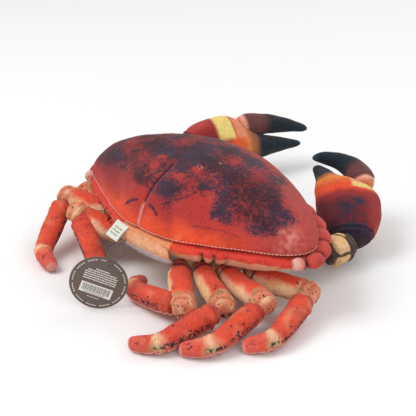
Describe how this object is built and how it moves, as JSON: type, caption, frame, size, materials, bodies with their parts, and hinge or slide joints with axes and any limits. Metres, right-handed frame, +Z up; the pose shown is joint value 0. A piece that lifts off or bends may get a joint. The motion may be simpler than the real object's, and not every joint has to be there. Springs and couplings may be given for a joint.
{
  "type": "plush crab",
  "caption": "Stuffed toy crab of printed short-pile plush, with padded claws, bent soft legs, a scalloped shell edge, a sewn label and a hang tag.",
  "frame": {"origin": "on the floor, in the middle of the flat spot of the belly that the toy rests on", "axes": "+Z up; the crab looks along -Y; its own left side is +X"},
  "size_m": [0.2818, 0.3637, 0.1076],
  "materials": {
    "plush_shell": "short velvety pile, printed",
    "plush_cream": "short velvety pile, printed",
    "plush_rose": "short velvety pile, printed",
    "plush_orange": "short velvety pile, printed",
    "plush_leg": "short velvety pile, printed",
    "plush_dark": "short velvety pile, printed",
    "plush_yellow": "short velvety pile, printed",
    "plush_claw": "short velvety pile, printed",
    "bead": "polished",
    "ribbon": "woven ribbon, smooth",
    "card": "printed, satin",
    "cord": "twisted cord"
  },
  "bodies": {
    "root": {"carapace": "plush_shell", "belly": "plush_cream", "frill_left": "plush_rose", "frill_right": "plush_rose", "face": "plush_rose", "abdomen_flap": "plush_orange", "leg_right_1_upper": "plush_leg", "leg_right_1_lower": "plush_leg", "leg_right_2_upper": "plush_leg", "leg_right_2_lower": "plush_leg", "leg_right_3_upper": "plush_leg", "leg_right_3_lower": "plush_leg", "leg_right_4_upper": "plush_leg", "leg_right_4_lower": "plush_leg", "leg_left_1_upper": "plush_leg", "leg_left_1_lower": "plush_leg", "leg_left_2_upper": "plush_leg", "leg_left_2_lower": "plush_leg", "leg_left_3_upper": "plush_leg", "leg_left_3_lower": "plush_leg", "leg_left_4_upper": "plush_leg", "leg_left_4_lower": "plush_leg", "claw_right_arm": "plush_dark", "claw_left_arm": "plush_dark", "claw_right_finger": "plush_dark", "claw_left_finger": "plush_dark", "claw_right_wrist": "plush_yellow", "claw_left_wrist": "plush_yellow", "claw_right_hand": "plush_claw", "claw_left_hand": "plush_claw", "eye_left": "bead", "eye_right": "bead", "seam_label": "ribbon", "hang_tag": "card", "tag_loop": "cord"}
  },
  "joints": []
}
